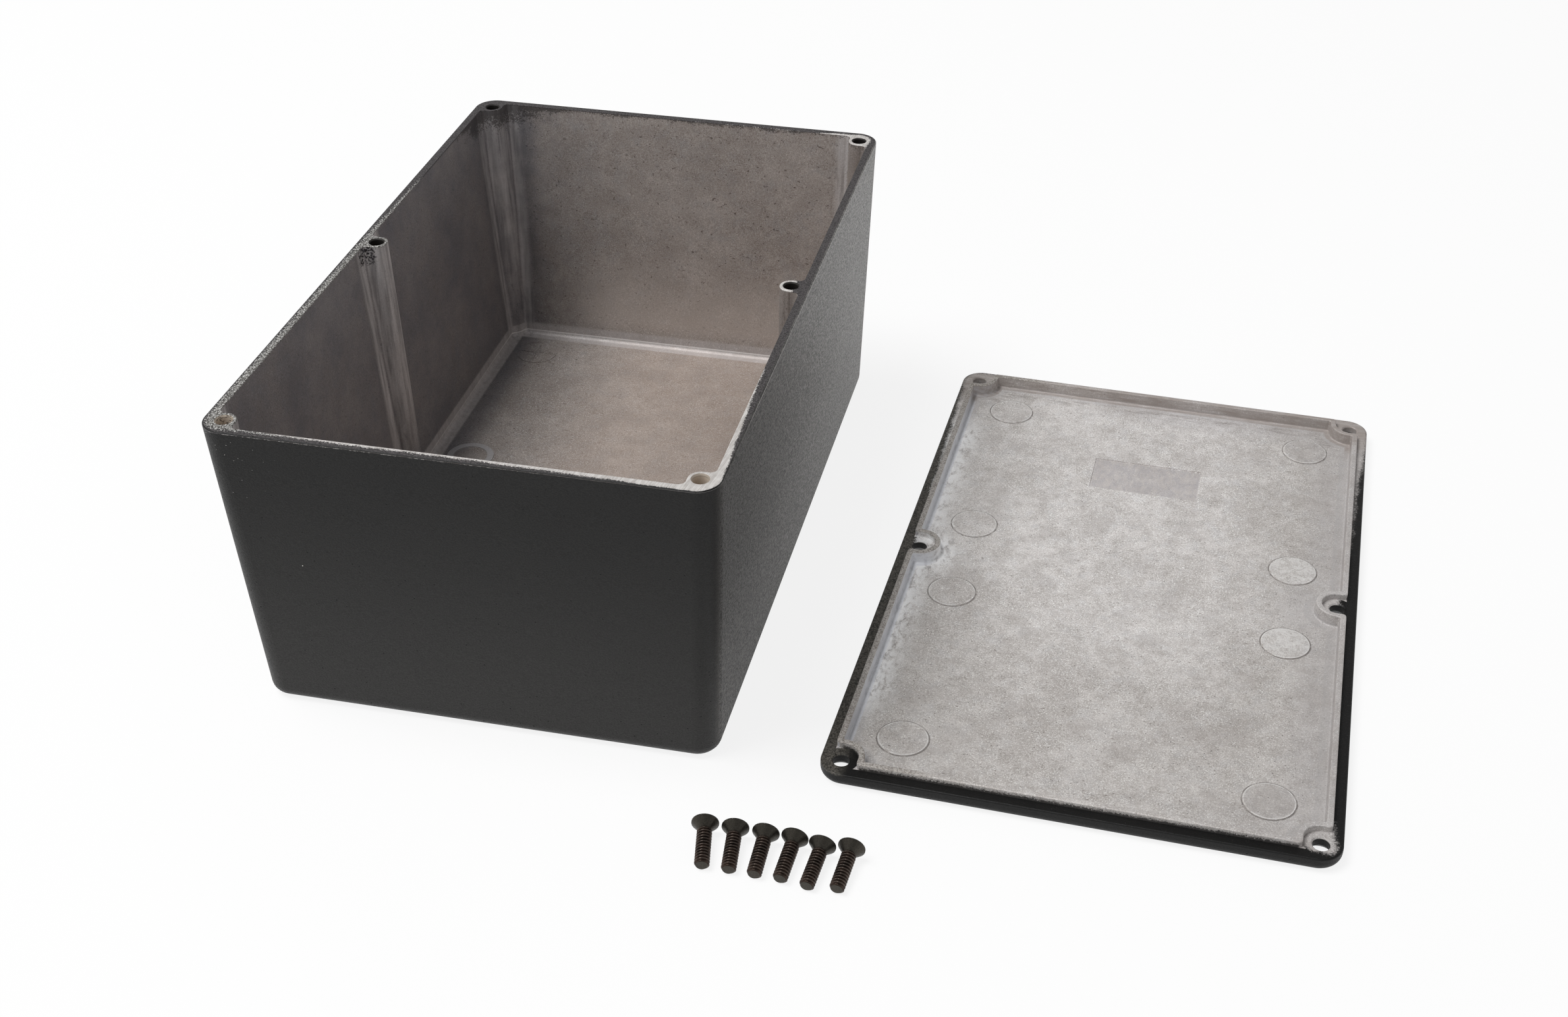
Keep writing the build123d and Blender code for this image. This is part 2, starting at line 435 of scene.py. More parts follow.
def make_machined_metal():
    """Bright metal with the fine parallel lines of a facing cut that runs nearly along the case."""
    sheet, given, way_out = new_group(
        "machined_metal",
        [("Point", vector_socket, None)],
        [("Color", colour_socket), ("Height", number_socket)],
    )
    cut_way = {"Vector": given["Point"], "Rotation": (0.0, 0.0, cut_angle)}
    along_cut = sheet.scaled(sheet.result("ShaderNodeMapping", cut_way), 1.0, 0.05, 1.0)
    lines = sheet.noise(along_cut, 0.34, detail=2.0, roughness=0.7)
    stains = sheet.noise(given["Point"], 1.6, detail=3.0)
    tone = sheet.rise(lines * 0.7 + stains * 0.3, 0.35, 0.65)
    metal = sheet.mix(tone, colour(190, 185, 181), colour(222, 219, 216))
    return close_group(sheet, way_out, Color=metal, Height=lines)


def make_paint_skin():
    """The fine orange peel of sprayed paint, with pinholes and a few bright grains.

    Its third input is a painted sheen: how much paler the paint looks where it mirrors light. Where Grain
    is high, the sheen lies in dots, which are painted glints, and the peel is flat."""
    sheet, given, way_out = new_group(
        "paint_skin",
        [
            ("Point", vector_socket, None),
            ("Grain", number_socket, 0.3),
            ("Dust", number_socket, 0.0),
        ],
        [("Color", colour_socket), ("Roughness", number_socket), ("Height", number_socket)],
    )
    point = given["Point"]
    peel = sheet.noise(point, 0.34, detail=2.0, roughness=0.65)
    swell = sheet.noise(point, 2.6, detail=2.0)
    to_grain, shade = sheet.cells(point, 6.5)
    crowding = sheet.noise(point, 40.0, detail=1.0)
    grains = sheet.fall(to_grain, 0.014, 0.024) * sheet.over(shade + crowding, 1.22)
    clouds = sheet.noise(point, 26.0, detail=4.0)
    peaks = sheet.rise(peel, 0.4, 0.6) * given["Grain"]
    long_point = sheet.scaled(point, 1.0, 0.45, 1.0)
    dots = sheet.rise(sheet.noise(long_point, 0.46, detail=1.0, roughness=0.8), 0.45, 0.58)
    paint = sheet.mix(clouds * 0.5 + peaks * 0.5, colour(4, 4, 4), colour(24, 23, 22))
    contrast = sheet.spread(given["Grain"], paint_grain, sheen_grain, 0.3, 1.3)
    # The painted sheen: a paler paint colour in place of reflected light, in dots (painted glints) where
    # the grain is high
    sheen = given["Dust"] * (1.0 + (dots - 0.5) * contrast)
    to_speck, speck_shade = sheet.cells(long_point, 0.8)
    dark_specks = sheet.fall(to_speck, 0.2, 0.3) * sheet.over(speck_shade, 0.6) * given["Grain"]
    sheen = sheen * (1.0 - dark_specks * 0.75)
    paint = sheet.mix(sheen, paint, colour(131, 128, 125))
    to_pit, pit_shade = sheet.cells(point, 1.8)
    pits = sheet.fall(to_pit, 0.08, 0.13) * sheet.over(pit_shade, 0.66)
    paint = sheet.mix(pits, paint, colour(2, 2, 2))
    paint = sheet.mix(grains, paint, colour(235, 230, 225))
    roughness = sheet.spread(peaks, 0.0, 1.0, 0.54, 0.24) + pits * 0.2
    height = peel * 0.5 + swell * 0.3 - pits * 0.3
    height = height * sheet.spread(given["Grain"], paint_grain, sheen_grain, 1.0, 0.0)
    return close_group(sheet, way_out, Color=paint, Roughness=roughness, Height=height)


outline_distance = make_outline_distance()
hole_distance = make_hole_distance()
pin_mark_distance = make_pin_mark_distance()
perimeter = make_perimeter()
bare_casting = make_bare_casting()
machined_metal = make_machined_metal()
paint_skin = make_paint_skin()


def new_material(name, metallic=0.0, roughness=0.5):
    """A material with its shader, and the piece's own coordinates in millimetres."""
    material = bpy.data.materials.new(name)
    material.use_nodes = True
    sheet = Sheet(material.node_tree)
    shader = material.node_tree.nodes["Principled BSDF"]
    shader.inputs["Metallic"].default_value = metallic
    shader.inputs["Roughness"].default_value = roughness
    shader.inputs["Specular IOR Level"].default_value = specular_level
    place = sheet.result("ShaderNodeTexCoord", key="Object")
    point = sheet.vector("MULTIPLY", place, (per_mm, per_mm, per_mm))
    return material, sheet, shader, point


def feed(sheet, shader, **signals):
    """Lead signals to the shader's sockets."""
    for key, signal in signals.items():
        sheet.tree.links.new(signal.socket, shader.inputs[key.replace("_", " ")])


def add_bump(sheet, shader, height, distance):
    bump = sheet.result("ShaderNodeBump", {"Height": height, "Distance": distance, "Strength": 1.0})
    feed(sheet, shader, Normal=bump)


def along_sides(sheet, point, front, right, back, left):
    """A value that follows listed stops along each side.

    Each stop's place is a share of the side's length, from its left or front end."""
    x, y, _ = sheet.split(point)
    along_x = sheet.spread(x, -half_width, half_width, 0.0, 1.0)
    along_y = sheet.spread(y, -half_length, half_length, 0.0, 1.0)
    value, = sheet.group(
        perimeter,
        Point=point,
        Front=sheet.ramp(along_x, front),
        Right=sheet.ramp(along_y, right),
        Back=sheet.ramp(along_x, back),
        Left=sheet.ramp(along_y, left),
    )
    return value


def past_outline(sheet, point, inset=0.0, radius=corner_radius):
    """How far a point lies outside a casting's outline, or outside one that is inset from it."""
    distance, = sheet.group(
        outline_distance,
        Point=point,
        Half_width=half_width - inset,
        Half_length=half_length - inset,
        Corner_radius=radius,
    )
    return distance


def case_inside(sheet, point, to_hole, speckle):
    """The bare skin inside the case: its colour, roughness and height."""
    x, y, z = sheet.split(point)
    depth = case_height - z
    casting, casting_roughness, casting_height = sheet.group(
        bare_casting,
        Point=point,
        Dark=colour(146, 137, 131),
        Light=colour(193, 185, 180),
        Cool=colour(160, 160, 163),
        Pits=sheet.spread(z, 20.0, 78.0, 0.3, 0.95),
        Sparks=sheet.spread(z, 6.0, 24.0, 0.45, 0.22),
    )
    above_floor = z - floor_thickness
    near_left = sheet.fall(x, -50.0, -40.0)

    # The floor: warmer to the right, and in shadow at its right edge. Worn patches all over, and painted
    # light on the back wall just above the floor.
    low_down = sheet.fall(above_floor, 0.4, 1.2)
    warm = low_down * sheet.rise(x, -40.0, 0.0) * 0.4
    casting = sheet.mix(warm, casting, colour(186, 166, 152))
    shadow = low_down * sheet.rise(x, -4.0, 36.0) * 0.6
    casting = sheet.mix(shadow, casting, colour(228, 227, 226), "MULTIPLY")
    worn_patches = sheet.rise(sheet.noise(point, 7.0, detail=5.0, roughness=0.65), 0.47, 0.63)
    casting = sheet.mix(worn_patches * 0.26, casting, colour(134, 124, 118))
    # Painted light: the back wall paler just above the floor, right of the left corner
    back_foot_light = sheet.between(above_floor, 1.0, 8.0, 8.0, 34.0)
    back_foot_light = back_foot_light * sheet.rise(y, 66.0, 84.0) * sheet.rise(x, -44.0, -20.0)
    casting = sheet.mix(back_foot_light * 0.42, casting, colour(222, 212, 205))

    # Dark streaks beside the columns, and painted highlights: pale bands on the left columns, in the
    # hollow corners and along the floor's edge, and a pale line at the walls' foot
    streaks = sheet.noise(sheet.scaled(point, 1.0, 1.0, 0.06), 1.4, detail=4.0, roughness=0.65)
    near_column = sheet.fall(to_hole, 6.5, 9.5)
    hollow = sheet.between(to_hole, 3.9, 4.8, 6.2, 8.5) * sheet.rise(z, 4.5, 8.0)
    floor_inset = rim_wall + inner_draft * (case_height - floor_thickness)
    past_floor = past_outline(sheet, point, floor_inset, floor_corner_radius)
    foot = sheet.rise(past_floor, -3.4, -2.6) * sheet.fall(above_floor, 3.2, 4.2)
    column_streaks = near_column * sheet.rise(streaks, 0.5, 0.62)
    skin = sheet.mix(column_streaks * 0.5, casting, colour(98, 88, 82))
    to_side = sheet.math("ABSOLUTE", x)
    on_column = sheet.fall(to_hole, 3.6, 4.4) * sheet.rise(z, 4.0, 9.0)
    # Painted highlights on the columns at the left, in the hollow corners and along the floor's edge
    corner_highlight = sheet.largest(hollow, on_column * near_left)
    corner_highlight = corner_highlight * sheet.spread(streaks, 0.35, 0.65, 1.0, 0.5)
    highlight_band = sheet.largest(corner_highlight, foot * sheet.spread(streaks, 0.3, 0.7, 0.9, 0.6))
    skin = sheet.mix(highlight_band * (0.5 + near_left * 0.2), skin, colour(224, 222, 224))
    # A painted highlight line along the foot of the back wall and the left wall
    foot_highlight = sheet.between(above_floor, 0.9, 1.0, 1.25, 1.35)
    foot_highlight = foot_highlight * sheet.largest(sheet.rise(y, 60.0, 76.0), near_left * 0.6)
    skin = sheet.mix(foot_highlight * 0.8, skin, colour(250, 248, 246))

    # Dross on the middle columns, painted shade on the columns at the right, and darker, bluer patches on
    # the left wall, the floor beside it and the back wall's left end
    dross_place = sheet.rise(to_side, 53.4, 54.6) * sheet.between(y, -7.0, -5.6, -1.0, 0.6)
    dross_place = dross_place * sheet.fall(depth, 3.0, 9.0)
    dross = sheet.noise(point, 0.7, detail=3.0, roughness=0.7)
    dross = sheet.rise(dross + dross_place * 0.2, 0.66, 0.72)
    # Painted shade on the columns right of the middle
    skin = sheet.mix(on_column * sheet.rise(x, 0.0, 1.0) * 0.45, skin, colour(128, 119, 114))
    skin = sheet.mix(dross * dross_place * sheet.fall(x, -1.0, 60.0), skin, colour(40, 33, 30))
    cool_side = near_left * sheet.invert(highlight_band)
    cool_side = cool_side * (0.25 + sheet.noise(point, 16.0, detail=4.0) * 0.7)
    skin = sheet.mix(cool_side, skin, colour(98, 101, 112))
    back_left = sheet.rise(y, 76.0, 84.0) * sheet.fall(x, -50.0, -16.0)
    back_left = back_left * sheet.rise(above_floor, 2.0, 5.0) * sheet.noise(point, 6.0, detail=4.0)
    skin = sheet.mix(back_left * 0.7, skin, colour(92, 94, 102))

    # The marks of the ejector pins, with a cross scribed in the back left one
    to_pin, outer_mark = sheet.group(pin_mark_distance, Point=point)
    ring_inside = ring_mark_radius - ring_mark_width
    ring = sheet.between(
        to_pin, ring_inside - 0.2, ring_inside + 0.1, ring_mark_radius - 0.2, ring_mark_radius + 0.2
    )
    ring = ring * sheet.fall(above_floor, 0.5, 1.0)
    skin = sheet.mix(ring * sheet.invert(outer_mark) * 0.6, skin, colour(205, 206, 210))
    off_pin_x = sheet.math("ABSOLUTE", to_side - pin_x)
    off_pin_y = sheet.math("ABSOLUTE", y - pin_y)
    cross = sheet.fall(sheet.smallest(off_pin_x, off_pin_y), 0.1, 0.35) * sheet.fall(to_pin, 4.0, 5.0)
    arc = sheet.between(to_pin, 5.6, 6.0, 6.4, 7.4)
    arc = arc * sheet.rise(y, half_length - 15.0, half_length - 12.0)
    at_back_left = sheet.fall(above_floor, 0.5, 1.0) * near_left * sheet.rise(y, 60.0, 66.0)
    skin = sheet.mix(sheet.largest(cross * 0.5, arc * 0.6) * at_back_left, skin, colour(74, 66, 62))

    # Soot below the rim, most at the back left, and painted shade in a band just under the rim at the back
    soot_noise = sheet.noise(point, 4.0, detail=5.0, roughness=0.7)
    soot_reach = sheet.fall(depth, 0.0, 15.0) * sheet.fall(x, -54.0, -28.0) * sheet.rise(y, 60.0, 84.0)
    # Painted shade: a dark band just under the rim on the back wall
    shade_below_rim = sheet.fall(depth, 0.2, 1.9) * 0.26 * sheet.rise(y, 60.0, 80.0)
    soot_and_shade_reach = sheet.fall(depth, 0.0, 7.0) * 0.14 + soot_reach * 0.42 + shade_below_rim
    soot_and_shade = sheet.rise(soot_and_shade_reach + (soot_noise - 0.5) * 0.7 + (speckle - 0.5) * 1.1, 0.28, 0.42)
    skin = sheet.mix(soot_and_shade * 0.7, skin, colour(48, 44, 42))
    return skin, casting_roughness, casting_height


def case_rim(sheet, point, speckle):
    """The faced rim, which the paint reached over, most at the back left and least at the front right.

    It gives back its colour, where the film of paint lies, where the paint is full, and its height."""
    x, _, _ = sheet.split(point)
    inward = 0.0 - past_outline(sheet, point)
    longest_reach = 8.0
    reach = longest_reach * along_sides(
        sheet,
        point,
        front=[(0.0, 0.12), (0.08, 0.2), (0.5, 0.19), (0.72, 0.13), (0.86, 0.05), (1.0, 0.03)],
        right=[
            (0.0, 0.03), (0.06, 0.07), (0.16, 0.18), (0.3, 0.3),
            (0.44, 0.52), (0.56, 0.5), (0.92, 0.4), (1.0, 0.12),
        ],
        back=[(0.0, 1.0), (0.2, 0.8), (0.4, 0.34), (0.85, 0.3), (1.0, 0.12)],
        left=[(0.0, 0.1), (0.3, 0.12), (0.5, 0.14), (0.7, 0.3), (1.0, 1.0)],
    )
    raggedness = along_sides(
        sheet,
        point,
        front=[(0.0, 0.9), (0.2, 0.5), (0.7, 0.4), (1.0, 0.15)],
        right=[(0.0, 0.15), (0.2, 0.4), (0.45, 0.5), (0.5, 0.8), (0.55, 0.5), (1.0, 0.4)],
        back=[(0.0, 0.4), (0.5, 0.3), (1.0, 0.3)],
        left=[(0.0, 0.8), (0.5, 1.0), (0.75, 0.5), (1.0, 0.3)],
    )
    waves = sheet.noise(point, 3.5, detail=4.0, roughness=0.6)
    film_edge = inward - reach + (speckle - 0.5) * raggedness * 6.0 + (waves - 0.5) * 1.2
    film = sheet.fall(film_edge, -0.2, 0.2)
    full_edge = sheet.fall(inward + (waves - 0.5) * 0.3, 0.28, 0.4)
    machined, machined_height = sheet.group(machined_metal, Point=point)
    grainy = sheet.rise(speckle, 0.46, 0.62)
    cast_speckle = sheet.mix(grainy, colour(82, 79, 75), colour(214, 213, 210))
    rough_left = sheet.fall(x, -50.0, -30.0)
    bare_rim = sheet.mix(rough_left, machined, cast_speckle)
    film_colour = sheet.mix(sheet.rise(speckle, 0.4, 0.6), colour(40, 38, 38), colour(90, 86, 87))
    rim_skin = sheet.mix(film, bare_rim, film_colour)
    return rim_skin, film, full_edge, machined_height


def case_paint(sheet, point, past_middle, outside):
    """The paint outside, with a painted sheen that makes it paler low down and on the right side, most
    towards its back.
    """
    x, y, z = sheet.split(point)
    depth = case_height - z
    flush = x + depth * outer_draft
    outer_face = sheet.rise(past_middle, 0.0, 0.5)
    right_side = sheet.rise(flush, half_width - 1.0, half_width - 0.2) * outer_face
    flat_side = sheet.rise(flush, half_width - 0.4, half_width - 0.1) * outer_face
    towards_back = sheet.rise(y + z * 0.6, -60.0, 130.0)
    # A painted sheen on the right side, strongest towards its back, and a fainter one all round low down
    side_sheen = 0.11 + towards_back * 0.8 + sheet.fall(z, 8.0, 52.0) * 0.14
    paint, paint_roughness, peel = sheet.group(
        paint_skin,
        Point=point,
        Grain=paint_grain + flat_side * (sheen_grain - paint_grain),
        Dust=sheet.fall(z, 0.0, 78.0) * 0.08 + right_side * side_sheen,
    )
    paint_roughness = paint_roughness + right_side * sheet.invert(towards_back) * 0.16

    # Chips along the front rim and at the front left corner, and a painted highlight along the right rim's
    # edge
    outer_edge = sheet.between(depth, 0.24, 0.3, 0.36, 0.42)
    outer_edge = outer_edge * sheet.fall(y, -92.0, -90.0) * sheet.fall(x, -10.0, 40.0)
    chips = sheet.noise(sheet.scaled(point, 0.4, 1.0, 1.0), 0.3, detail=3.0, roughness=0.7)
    worn = outside * outer_edge * sheet.rise(chips, 0.5, 0.6) * 0.45
    corner = sheet.fall(x, -56.0, -38.0) * sheet.fall(y, -88.0, -84.0) * sheet.rise(z, 56.0, 66.0)
    to_speck, speck_shade = sheet.cells(point, 1.0)
    corner_chips = sheet.fall(to_speck, 0.05, 0.1) * sheet.over(speck_shade, 0.6) * corner
    edge_glint = sheet.between(depth, 0.3, 0.38, 0.5, 0.6)
    edge_glint = edge_glint * right_side * sheet.rise(y, -80.0, -50.0)
    # The worn chips here also take in the painted highlight along the right rim's edge
    worn = sheet.largest(worn, edge_glint * 0.55)
    paint = sheet.mix(sheet.largest(worn, corner_chips), paint, colour(214, 211, 208))
    return paint, paint_roughness, peel


def make_case_casting():
    """Dark satin paint outside, a faced rim that the paint reaches over, and bare casting inside."""
    material, sheet, shader, point = new_material("case_casting")
    x, y, z = sheet.split(point)
    depth = case_height - z
    middle_inset = rim_wall / 2 + depth * ((outer_draft + inner_draft) / 2)
    past_middle = past_outline(sheet, point, middle_inset, corner_radius - rim_wall / 2)
    outside = sheet.largest(sheet.rise(past_middle, -0.05, 0.05), sheet.fall(z, 1.9, 2.1))
    to_hole, = sheet.group(hole_distance, Point=point)
    on_rim = sheet.rise(z, case_height - 0.35, case_height - 0.15)
    speckle = sheet.noise(point, 0.42, detail=3.0, roughness=0.8)
    skin, casting_roughness, casting_height = case_inside(sheet, point, to_hole, speckle)
    rim_skin, film, full_edge, machined_height = case_rim(sheet, point, speckle)
    paint, paint_roughness, peel = case_paint(sheet, point, past_middle, outside)
    painted = sheet.largest(outside * sheet.invert(on_rim), full_edge * on_rim)
    bare = sheet.mix(on_rim, skin, rim_skin)

    # The walls of the screw holes: stained at the left, in shadow at the back
    in_hole = sheet.fall(to_hole, hole_radius + 0.24, hole_radius + 0.36)
    chipped = sheet.rise(sheet.noise(point, 0.6, detail=3.0, roughness=0.7), 0.52, 0.6)
    wall = sheet.mix(sheet.rise(depth, 0.3, 0.7), colour(158, 147, 134), colour(222, 209, 194))
    stained = sheet.mix(chipped * sheet.fall(x, 0.0, 1.0) * 0.8, wall, colour(52, 40, 32))
    hole_wall = sheet.mix(sheet.rise(y, -30.0, -20.0), stained, colour(40, 37, 35))
    bare = sheet.mix(in_hole, bare, hole_wall)
    metal = sheet.invert(painted) * (1.0 - film * on_rim * 0.7) * (1.0 - in_hole * 0.7)
    feed(
        sheet,
        shader,
        Base_Color=sheet.mix(painted, bare, paint),
        Metallic=metal * 0.35,
        Roughness=painted * paint_roughness + sheet.invert(painted) * casting_roughness,
    )
    rim_height = on_rim * (film * speckle - machined_height * 0.3)
    bare_height = casting_height * casting_bump + rim_height * 0.06
    height = painted * peel * paint_bump + sheet.invert(painted) * bare_height
    add_bump(sheet, shader, height, 1.0 * mm)
    return material


def lid_inside(sheet, point, off_lip, speckle):
    """The bare skin inside the lid: its colour, roughness and height."""
    x, y, z = sheet.split(point)
    casting, casting_roughness, casting_height = sheet.group(
        bare_casting,
        Point=point,
        Dark=colour(184, 178, 174),
        Light=colour(234, 230, 228),
        Cool=colour(208, 208, 211),
    )

    # Smoother round the edge, painted shade in the crease along the lip's foot and towards the front and
    # the sides, and worn in patches
    smooth = sheet.rise(off_lip, -15.0, -6.0) * sheet.rise(x + y * 0.3, -10.0, 30.0)
    skin = sheet.mix(smooth * 0.3, casting, colour(192, 189, 192))
    # Painted shade in the crease along the lip's foot
    lip_foot_shade = sheet.rise(off_lip, -4.6, -3.9) * sheet.fall(z, 3.0, 3.4)
    skin = sheet.mix(lip_foot_shade * 0.4, skin, colour(194, 192, 193))
    # Painted shade: the tray darker towards its front and its sides
    side_shade = sheet.fall(x, -55.0, -15.0) * 0.35 + sheet.rise(x, 18.0, 48.0) * 0.9
    front_and_side_shade = sheet.smallest(sheet.fall(y, -70.0, 0.0) * 0.85 + side_shade, 1.0)
    skin = sheet.mix(front_and_side_shade * 0.64, skin, colour(213, 211, 208), "MULTIPLY")
    worn_patches = sheet.rise(sheet.noise(point, 9.0, detail=5.0, roughness=0.65), 0.48, 0.64)
    skin = sheet.mix(worn_patches * 0.3, skin, colour(168, 161, 157))
    long_point = sheet.scaled(point, 1.0, 0.5, 1.0)
    mottle = sheet.noise(long_point, 2.0, detail=6.0, roughness=0.75, distortion=0.4)

    # A pale bloom along the left lip, painted shade on the back lip's inner slope, and smudges along the
    # back lip
    bloom_waves = sheet.noise(point, 9.0, detail=4.0)
    bloom_place = sheet.rise(off_lip + bloom_waves * 6.0, -8.0, 1.5) * sheet.fall(x, -50.0, -36.0)
    bloom_place = bloom_place * sheet.between(y, -78.0, -58.0, 58.0, 74.0)
    bloom = bloom_place * sheet.rise(mottle, 0.36, 0.56)
    skin = sheet.mix(bloom * 0.9, skin, colour(255, 255, 255))
    hollow_smudge = bloom_place * sheet.fall(mottle, 0.36, 0.42)
    skin = sheet.mix(hollow_smudge * 0.5, skin, colour(150, 148, 150))
    left_lip = sheet.fall(x, -52.0, -48.0)
    slope = left_lip * sheet.between(off_lip, -3.2, -2.6, -0.5, -0.1)
    slope = slope * sheet.fall(z, lip_top_height - 0.5, lip_top_height - 0.2)
    skin = sheet.mix(slope * 0.7, skin, colour(214, 216, 222))
    at_back = sheet.rise(y, 74.0, 82.0)
    back_streaks = sheet.noise(sheet.scaled(point, 0.12, 1.0, 1.0), 0.9, detail=4.0, roughness=0.7)
    # Painted shade on the back lip's inner slope, streaked along it
    back_lip_shade = at_back * sheet.rise(off_lip, -3.4, -2.8)
    back_lip_shade = back_lip_shade * sheet.spread(back_streaks, 0.35, 0.65, 0.9, 0.35)
    skin = sheet.mix(back_lip_shade, skin, colour(158, 148, 142))
    back_smudge = sheet.between(off_lip, -8.5, -5.5, -4.6, -3.8) * at_back
    back_smudge = back_smudge * sheet.rise(back_streaks + (speckle - 0.5) * 0.4, 0.44, 0.6)
    skin = sheet.mix(back_smudge * 0.4, skin, colour(128, 120, 116))

    # The lip's worn top at the left, and the sunk pad
    lip_top = sheet.rise(z, lip_top_height - 0.4, lip_top_height - 0.1) * sheet.fall(x, -40.0, -30.0)
    lip_skin = sheet.mix(sheet.rise(speckle, 0.4, 0.6), colour(128, 121, 114), colour(196, 191, 186))
    skin = sheet.mix(lip_top * 0.9, skin, lip_skin)
    from_pad_x = sheet.math("ABSOLUTE", x) - pad_length / 2
    from_pad_y = sheet.math("ABSOLUTE", y - pad_y) - pad_width / 2
    pad = sheet.fall(sheet.largest(from_pad_x, from_pad_y), -0.5, 0.1) * sheet.fall(z, 3.6, 3.8)
    pad_skin = sheet.mix(sheet.rise(mottle, 0.38, 0.62), colour(174, 169, 172), colour(197, 190, 187))
    skin = sheet.mix(pad * 0.62, skin, pad_skin)

    # The marks of the ejector pins, each with a painted highlight ring on its edge and a painted shade
    # ring round its foot
    to_pin, outer_mark = sheet.group(pin_mark_distance, Point=point)
    on_tray = sheet.fall(z, 3.0, 3.3)
    on_disc = sheet.fall(to_pin, pin_mark_radius - 0.5, pin_mark_radius - 0.1)
    on_disc = on_disc * on_tray * sheet.rise(x, 0.0, 10.0)
    swirls = sheet.noise(point, 2.4, detail=4.0, roughness=0.6, distortion=1.5)
    swirls = sheet.rise(swirls, 0.4, 0.6)
    dull_disc = on_disc * outer_mark * (0.12 + swirls * 0.25)
    skin = sheet.mix(dull_disc, skin, colour(158, 153, 151))
    bright_disc = on_disc * sheet.invert(outer_mark) * (0.12 + swirls * 0.36)
    skin = sheet.mix(bright_disc, skin, colour(240, 239, 237))
    # Painted light round each mark: a highlight ring on its edge and a shade ring just outside it
    ring_highlight = sheet.between(to_pin, 5.65, 5.85, 6.0, 6.15) * on_tray
    ring_shade = sheet.between(to_pin, 6.08, 6.2, 6.35, 6.55) * on_tray
    ring_breaks = sheet.rise(sheet.noise(point, 2.0, detail=3.0), 0.36, 0.52)
    skin = sheet.mix(ring_highlight * ring_breaks * 0.5, skin, colour(240, 239, 237))
    skin = sheet.mix(ring_shade * (0.35 + ring_breaks * 0.4), skin, colour(104, 98, 94))
    return skin, casting_roughness, casting_height


def make_lid_casting():
    """Bare mottled casting in the tray and on the lip, and dark paint on the flange and outside."""
    material, sheet, shader, point = new_material("lid_casting")
    mapping = {"Vector": point, "Location": (*lid_centre.xy, 0.0), "Rotation": (0.0, 0.0, lid_turn)}
    point = sheet.result("ShaderNodeMapping", mapping, vector_type="TEXTURE")
    x, y, z = sheet.split(point)
    inward = 0.0 - past_outline(sheet, point)
    past_lip = past_outline(sheet, point, rim_wall + lip_clearance, lip_corner_radius)
    to_hole, = sheet.group(hole_distance, Point=point)
    speckle = sheet.noise(point, 0.42, detail=3.0, roughness=0.8)
    off_lip = sheet.largest(past_lip, pocket_radius - to_hole)
    on_lip_side = sheet.rise(off_lip, -0.1, 0.05)
    underside = sheet.fall(z, tray_floor_thickness - 0.5, tray_floor_thickness - 0.3)
    underside = underside * sheet.rise(to_hole, 3.6, 3.8)
    climb = z - (speckle - 0.5) * 3.0
    flange = on_lip_side * sheet.fall(climb, flange_thickness + 0.5, flange_thickness + 1.1)
    skin, casting_roughness, casting_height = lid_inside(sheet, point, off_lip, speckle)

    # The flange: paint that reaches in over it, most at the front left, and over its outer edge
    longest_reach = 10.0
    reach = longest_reach * along_sides(
        sheet,
        point,
        front=[(0.0, 1.0), (0.7, 0.9), (0.9, 0.45), (1.0, 0.1)],
        right=[
            (0.0, 0.1), (0.1, 0.4), (0.5, 0.5), (0.65, 0.3),
            (0.8, 0.2), (0.9, 0.06), (0.95, 0.0), (1.0, 0.0),
        ],
        back=[(0.0, 0.05), (0.5, 0.0), (1.0, 0.0)],
        left=[(0.0, 1.0), (0.2, 0.42), (0.5, 0.38), (0.8, 0.2), (1.0, 0.05)],
    )
    waves = sheet.noise(point, 3.5, detail=4.0, roughness=0.6)
    film_edge = inward - reach + (speckle - 0.5) * 4.0 + (waves - 0.5) * 2.0
    film = sheet.fall(film_edge, -0.9, 0.7)
    edge_height = z + sheet.rise(y, 40.0, 70.0) * 1.5
    edge = sheet.fall(edge_height, flange_thickness - 0.6, flange_thickness - 0.2)
    painted = sheet.largest(flange * sheet.largest(film, edge), underside)
    paint, paint_roughness, peel = sheet.group(paint_skin, Point=point)
    crackle = sheet.mix(sheet.rise(speckle, 0.36, 0.64), colour(34, 32, 29), colour(112, 108, 101))
    crackled = sheet.fall(x, -56.0, -52.0) * flange * sheet.invert(edge)
    paint = sheet.mix(crackled * 0.9, paint, crackle)
    feed(
        sheet,
        shader,
        Base_Color=sheet.mix(painted, skin, paint),
        Metallic=sheet.invert(painted) * 0.2,
        Roughness=painted * paint_roughness + sheet.invert(painted) * casting_roughness,
    )
    height = painted * peel * paint_bump + sheet.invert(painted) * casting_height * casting_bump
    add_bump(sheet, shader, height, 1.0 * mm)
    return material


